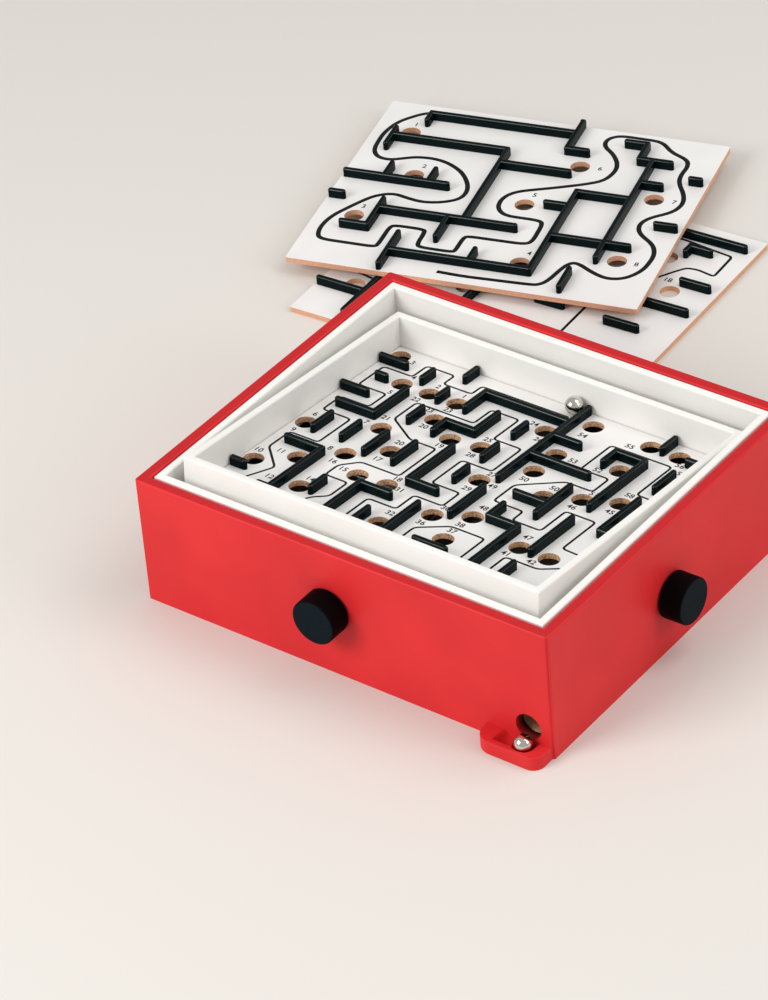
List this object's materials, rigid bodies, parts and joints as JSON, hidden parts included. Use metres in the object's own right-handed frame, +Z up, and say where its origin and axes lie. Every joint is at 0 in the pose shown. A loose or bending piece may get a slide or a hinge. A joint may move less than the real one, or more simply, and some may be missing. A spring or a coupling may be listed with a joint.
{
  "type": "tilting labyrinth game",
  "caption": "Tabletop labyrinth game: red box with two nested tilting frames, a maze board with ball holes, two knobs, steel balls, a ball tray and spare maze boards.",
  "frame": {"origin": "middle of the box base, on the table", "axes": "+X along the front wall to the right, +Y away from the player, +Z up"},
  "size_m": [0.5476, 0.6493, 0.1049],
  "materials": {
    "red_lacquer": "satin red lacquer on wood",
    "bare_board": "bare hardboard",
    "steel": "bright steel",
    "brass": "plain brass",
    "bush_plastic": "moulded plastic",
    "white_lacquer": "satin cream white lacquer on wood",
    "white_laminate": "white laminate on fibreboard",
    "black_strip": "glossy black strip",
    "black_plastic": "matt black",
    "cord": "waxed thread",
    "polished_steel": "polished steel"
  },
  "bodies": {
    "box": {"front_wall": "red_lacquer", "back_wall": "red_lacquer", "left_wall": "red_lacquer", "right_wall": "red_lacquer", "base_panel": "bare_board", "base_pins": "steel", "return_floor": "bare_board", "floor_blocks": "bare_board", "ball_tray": "red_lacquer", "front_shaft_bushes": "bush_plastic", "side_shaft_bushes": "bush_plastic", "outer_cord": "cord", "inner_cord": "cord"},
    "outer_frame": {"outer_rail_front": "white_lacquer", "outer_rail_back": "white_lacquer", "outer_rail_left": "white_lacquer", "outer_rail_right": "white_lacquer", "outer_pivot_pins": "steel", "outer_cord_eyes": "brass", "outer_cord_spring": "steel"},
    "inner_frame": {"inner_rail_front": "white_lacquer", "inner_rail_back": "white_lacquer", "inner_rail_left": "white_lacquer", "inner_rail_right": "white_lacquer", "board_ledges": "white_lacquer", "inner_pivot_pins": "steel", "inner_cord_eyes": "brass", "inner_cord_spring": "steel"},
    "maze": {"maze_board": "white_laminate", "maze_walls": "black_strip"},
    "front_control": {"front_shaft": "steel", "front_knob": "black_plastic", "front_shaft_clips": "steel"},
    "side_control": {"side_shaft": "steel", "side_knob": "black_plastic", "side_shaft_clips": "steel"},
    "ball_in_play": {"board_ball": "polished_steel"},
    "ball_returned": {"tray_ball": "polished_steel"},
    "lower_spare": {"lower_board": "white_laminate", "lower_board_walls": "black_strip"},
    "upper_spare": {"upper_board": "white_laminate", "upper_board_walls": "black_strip"}
  },
  "joints": [
    {"name": "outer_tilt", "type": "hinge", "parent": "box", "child": "outer_frame", "pos_m": [0, 0, 0.079], "axis": [0, 1, 0], "range_deg": [-6, 6], "deforming": ["outer_cord", "outer_cord_spring", "inner_cord", "inner_cord_spring"]},
    {"name": "inner_tilt", "type": "hinge", "parent": "outer_frame", "child": "inner_frame", "pos_m": [0, 0, 0.079], "axis": [1, 0, 0], "range_deg": [-0.5, 11.5], "deforming": ["inner_cord", "inner_cord_spring"]},
    {"name": "front_knob_turn", "type": "hinge", "parent": "box", "child": "front_control", "pos_m": [-0.008, 0, 0.051], "axis": [0, 1, 0], "range_deg": [-48, 48], "deforming": ["outer_cord"]},
    {"name": "side_knob_turn", "type": "hinge", "parent": "box", "child": "side_control", "pos_m": [0, -0.006, 0.042], "axis": [1, 0, 0], "range_deg": [-6, 138], "deforming": ["inner_cord"]},
    {"name": "maze_lift", "type": "slide", "parent": "inner_frame", "child": "maze", "axis": [0, 0.0958, 0.9954], "range_m": [0, 0.05]},
    {"name": "ball_roll", "type": "slide", "parent": "maze", "child": "ball_in_play", "axis": [-1, 0, 0], "range_m": [0, 0.072]},
    {"name": "tray_ball_lift", "type": "slide", "parent": "box", "child": "ball_returned", "axis": [0, 0, 1], "range_m": [0, 0.04]},
    {"name": "lower_spare_lift", "type": "slide", "parent": "box", "child": "lower_spare", "axis": [0, 0, 1], "range_m": [0, 0.06]},
    {"name": "upper_spare_lift", "type": "slide", "parent": "lower_spare", "child": "upper_spare", "axis": [0, 0, 1], "range_m": [0, 0.06]}
  ],
  "couplings": [
    {"joint": "front_knob_turn", "follows": "outer_tilt", "ratio": 8},
    {"joint": "side_knob_turn", "follows": "inner_tilt", "ratio": 12}
  ]
}
